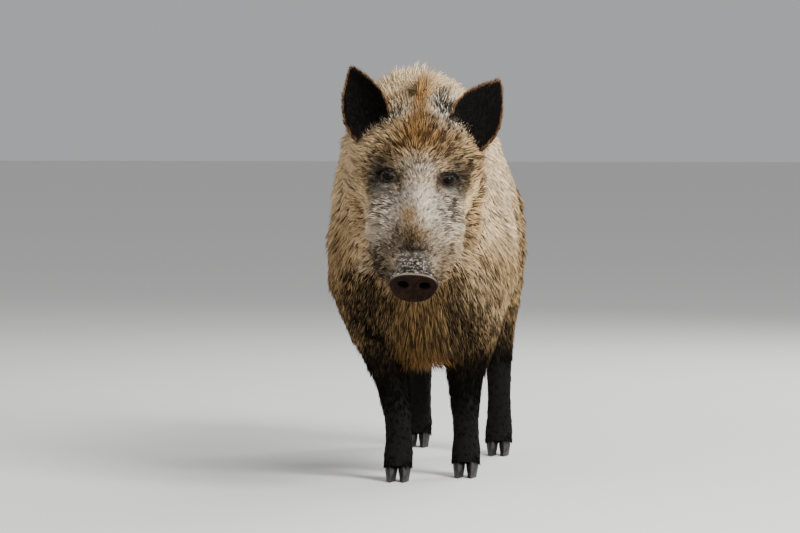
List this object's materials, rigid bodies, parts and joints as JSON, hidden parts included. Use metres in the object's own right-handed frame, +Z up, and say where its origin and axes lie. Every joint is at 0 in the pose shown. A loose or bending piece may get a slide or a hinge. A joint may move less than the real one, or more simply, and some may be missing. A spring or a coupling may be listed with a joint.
{
  "type": "wild boar",
  "caption": "Life-size standing wild boar with a lowered head, a long muzzle ending in a flat nose disc, upright ears, a high bristly back and cloven hooves; a still display figure.",
  "frame": {"origin": "on the floor under the middle of the body's box", "axes": "+Z up; the boar looks along -Y; its left side is +X"},
  "size_m": [0.388, 1.285, 0.8131],
  "materials": {
    "coat": "coarse bristles, dark at the root and buff at the tip, over short underwool",
    "face": "short stiff grizzled hair",
    "ear": "short dark velvety hair with a rusty fringe",
    "sock": "short close near-black hair",
    "nose": "bare moist skin",
    "eye": "wet dark brown",
    "hoof": "worn grey-black horn"
  },
  "bodies": {
    "root": {"skull": "face", "snout": "face", "lower_jaw": "face", "nose_disc": "nose", "eye_left": "eye", "ear_left": "ear", "eye_right": "eye", "ear_right": "ear", "neck": "coat", "chest": "coat", "shoulders": "coat", "barrel": "coat", "haunches": "coat", "tail": "coat", "foreleg_left_upper": "coat", "foreleg_left_forearm": "sock", "foreleg_left_foot": "sock", "hoof_foreleg_left_inner": "hoof", "dewclaw_foreleg_left_inner": "hoof", "hoof_foreleg_left_outer": "hoof", "dewclaw_foreleg_left_outer": "hoof", "foreleg_right_upper": "coat", "foreleg_right_forearm": "sock", "foreleg_right_foot": "sock", "hoof_foreleg_right_inner": "hoof", "dewclaw_foreleg_right_inner": "hoof", "hoof_foreleg_right_outer": "hoof", "dewclaw_foreleg_right_outer": "hoof", "hindleg_left_thigh": "coat", "hindleg_left_shank": "sock", "hindleg_left_foot": "sock", "hoof_hindleg_left_inner": "hoof", "dewclaw_hindleg_left_inner": "hoof", "hoof_hindleg_left_outer": "hoof", "dewclaw_hindleg_left_outer": "hoof", "hindleg_right_thigh": "coat", "hindleg_right_shank": "sock", "hindleg_right_foot": "sock", "hoof_hindleg_right_inner": "hoof", "dewclaw_hindleg_right_inner": "hoof", "hoof_hindleg_right_outer": "hoof", "dewclaw_hindleg_right_outer": "hoof"}
  },
  "joints": []
}
